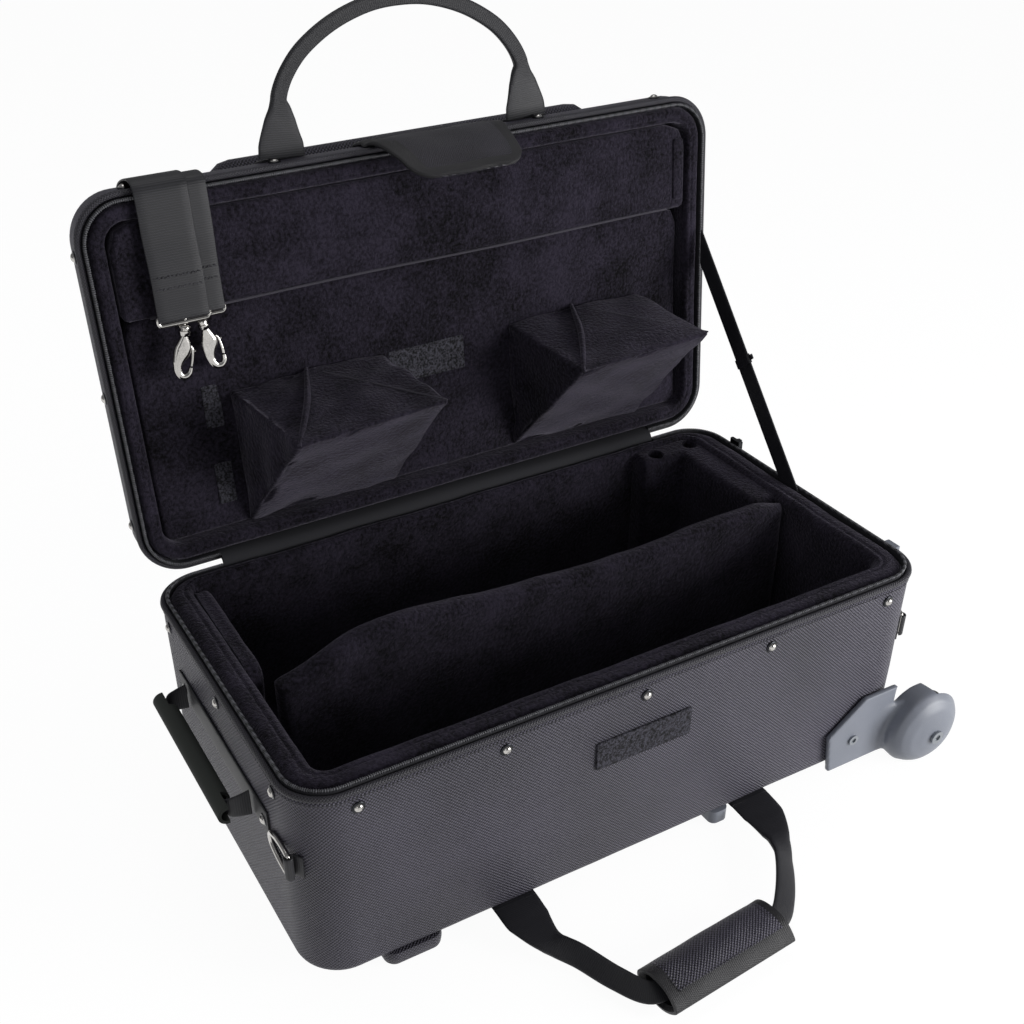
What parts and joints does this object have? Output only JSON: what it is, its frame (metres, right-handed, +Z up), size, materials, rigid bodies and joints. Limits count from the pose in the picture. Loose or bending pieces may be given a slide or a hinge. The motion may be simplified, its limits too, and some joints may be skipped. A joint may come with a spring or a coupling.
{
  "type": "wheeled instrument case",
  "caption": "Soft-sided wheeled double case for brass instruments, open, with zipped lid, divider, wedge pads, carrying handles, wheels on one end and a stowed shoulder sling.",
  "frame": {"origin": "on the floor under the middle of the whole object's bounding box", "axes": "+X towards the wheeled end, -Y the front, +Z up"},
  "size_m": [0.659, 0.5842, 0.6182],
  "materials": {
    "nylon": "woven nylon, coarse",
    "piping": "bound welt",
    "zip_tape": "woven tape",
    "zip_coil": "nylon coil",
    "plush": "velvet plush",
    "loop_tape": "loop pile",
    "webbing": "ribbed webbing",
    "sling_webbing": "ribbed webbing",
    "flap_fabric": "bound nylon",
    "wrap_fabric": "padded nylon",
    "rivet": "black lacquer",
    "grey_plastic": "moulded, fine grain",
    "bolt_steel": "zinc plated",
    "tyre_rubber": "solid rubber",
    "hub_plastic": "moulded",
    "grip_rubber": "smooth rubber",
    "chrome": "nickel plated"
  },
  "bodies": {
    "base": {"base_shell": "nylon", "base_piping": "piping", "base_zip_tape": "zip_tape", "base_zip_coil": "zip_coil", "base_lining": "plush", "divider": "plush", "bell_pad": "plush", "mouthpiece_block": "plush", "loop_patch": "loop_tape", "base_rivets": "rivet", "end_strip": "webbing", "end_strip_rivets": "rivet", "d_ring_tab_left": "webbing", "d_ring_tab_right": "webbing", "wheel_bracket_front": "grey_plastic", "wheel_bracket_back": "grey_plastic", "bracket_bolts": "bolt_steel", "axle_bolts": "bolt_steel", "stand_feet": "grey_plastic", "plastic_feet": "grey_plastic", "fabric_feet": "nylon", "handle_anchors": "webbing", "fabric_hinge": "zip_tape", "stay_strap": "webbing"},
    "lid": {"lid_shell": "nylon", "lid_piping": "piping", "lid_zip_tape": "zip_tape", "lid_zip_coil": "zip_coil", "lid_lining": "plush", "lid_main_panel": "plush", "lid_pocket_panel": "plush", "lid_outer_pocket": "nylon", "lid_rivets": "rivet", "flap_root": "flap_fabric", "lid_handle_anchors": "webbing", "wedge_pad_left": "plush", "wedge_pad_right": "plush", "lid_loop_strips": "loop_tape", "sling_strap": "sling_webbing"},
    "flap": {"closure_flap": "flap_fabric"},
    "lid_handle": {"lid_handle": "webbing"},
    "base_handle": {"base_handle_straps": "webbing", "base_handle_wrap": "wrap_fabric"},
    "end_grip": {"grip_tube": "grip_rubber", "grip_webbing": "webbing"},
    "wheel_front": {"tyre_front": "tyre_rubber", "hub_front": "hub_plastic"},
    "wheel_back": {"tyre_back": "tyre_rubber", "hub_back": "hub_plastic"},
    "d_ring_left": {"d_ring_left": "chrome"},
    "d_ring_right": {"d_ring_right": "chrome"},
    "zip_slider": {"zip_slider": "chrome"},
    "zip_pull": {"zip_pull": "chrome"},
    "sling_ring_front": {"sling_ring_front": "chrome"},
    "snap_hook_front": {"snap_hook_front": "chrome"},
    "hook_gate_front": {"hook_gate_front": "chrome"},
    "sling_ring_rear": {"sling_ring_rear": "chrome"},
    "snap_hook_rear": {"snap_hook_rear": "chrome"},
    "hook_gate_rear": {"hook_gate_rear": "chrome"}
  },
  "joints": [
    {"name": "lid_hinge", "type": "hinge", "parent": "base", "child": "lid", "pos_m": [-0.0085, 0.17272, 0.203], "axis": [1, 0, 0], "range_deg": [0, 95.9], "deforming": ["fabric_hinge", "stay_strap", "sling_strap"]},
    {"name": "flap_swing", "type": "hinge", "parent": "lid", "child": "flap", "pos_m": [-0.0085, 0.22728, 0.51584], "axis": [1, 0, 0], "range_deg": [-15, 0]},
    {"name": "lid_handle_swing", "type": "hinge", "parent": "lid", "child": "lid_handle", "pos_m": [-0.0085, 0.23078, 0.51568], "axis": [1, 0, 0], "range_deg": [-80, 20]},
    {"name": "base_handle_swing", "type": "hinge", "parent": "base", "child": "base_handle", "pos_m": [-0.0085, -0.14228, 0.0143], "axis": [-1, 0, 0], "range_deg": [0, 78]},
    {"name": "end_grip_swing", "type": "hinge", "parent": "base", "child": "end_grip", "pos_m": [-0.303, 0.01572, 0.136], "axis": [0, 1, 0], "range_deg": [-35, 35]},
    {"name": "wheel_front_spin", "type": "hinge", "parent": "base", "child": "wheel_front", "pos_m": [0.2965, -0.15328, 0.033], "axis": [0, 1, 0], "continuous": true},
    {"name": "wheel_back_spin", "type": "hinge", "parent": "base", "child": "wheel_back", "pos_m": [0.2965, 0.18472, 0.033], "axis": [0, 1, 0], "continuous": true},
    {"name": "d_ring_left_swing", "type": "hinge", "parent": "base", "child": "d_ring_left", "pos_m": [-0.30051, -0.12109, 0.1295], "axis": [0, 0, 1], "range_deg": [0, 110]},
    {"name": "d_ring_right_swing", "type": "hinge", "parent": "base", "child": "d_ring_right", "pos_m": [0.28351, -0.12109, 0.1295], "axis": [0, 0, -1], "range_deg": [0, 110]},
    {"name": "zip_slider_travel", "type": "slide", "parent": "base", "child": "zip_slider", "axis": [0, -1, 0], "range_m": [0, 0.19]},
    {"name": "zip_pull_swing", "type": "hinge", "parent": "zip_slider", "child": "zip_pull", "pos_m": [0.2845, 0.11572, 0.203], "axis": [0, -1, 0], "range_deg": [0, 120]},
    {"name": "sling_ring_front_swing", "type": "hinge", "parent": "lid", "child": "sling_ring_front", "pos_m": [-0.2305, 0.19097, 0.42168], "axis": [1, 0, 0], "range_deg": [-60, 0]},
    {"name": "snap_hook_front_swivel", "type": "hinge", "parent": "sling_ring_front", "child": "snap_hook_front", "pos_m": [-0.23187, 0.1895, 0.4075], "axis": [-0.2079, -0.1009, -0.9729], "continuous": true},
    {"name": "hook_gate_front_swing", "type": "hinge", "parent": "snap_hook_front", "child": "hook_gate_front", "pos_m": [-0.22617, 0.1884, 0.39689], "axis": [0, 0.9947, -0.1031], "range_deg": [0, 25], "stiffness_Nm_per_rad": 0.01},
    {"name": "sling_ring_rear_swing", "type": "hinge", "parent": "lid", "child": "sling_ring_rear", "pos_m": [-0.2155, 0.19734, 0.42102], "axis": [1, 0, 0], "range_deg": [0, 4]},
    {"name": "snap_hook_rear_swivel", "type": "hinge", "parent": "sling_ring_rear", "child": "snap_hook_rear", "pos_m": [-0.21413, 0.19587, 0.40684], "axis": [0.2079, -0.1009, -0.9729], "continuous": true},
    {"name": "hook_gate_rear_swing", "type": "hinge", "parent": "snap_hook_rear", "child": "hook_gate_rear", "pos_m": [-0.20458, 0.1951, 0.39946], "axis": [0, 0.9947, -0.1031], "range_deg": [0, 25], "stiffness_Nm_per_rad": 0.01}
  ],
  "couplings": [
    {"joint": "flap_swing", "follows": "lid_hinge", "ratio": -0.15638}
  ]
}
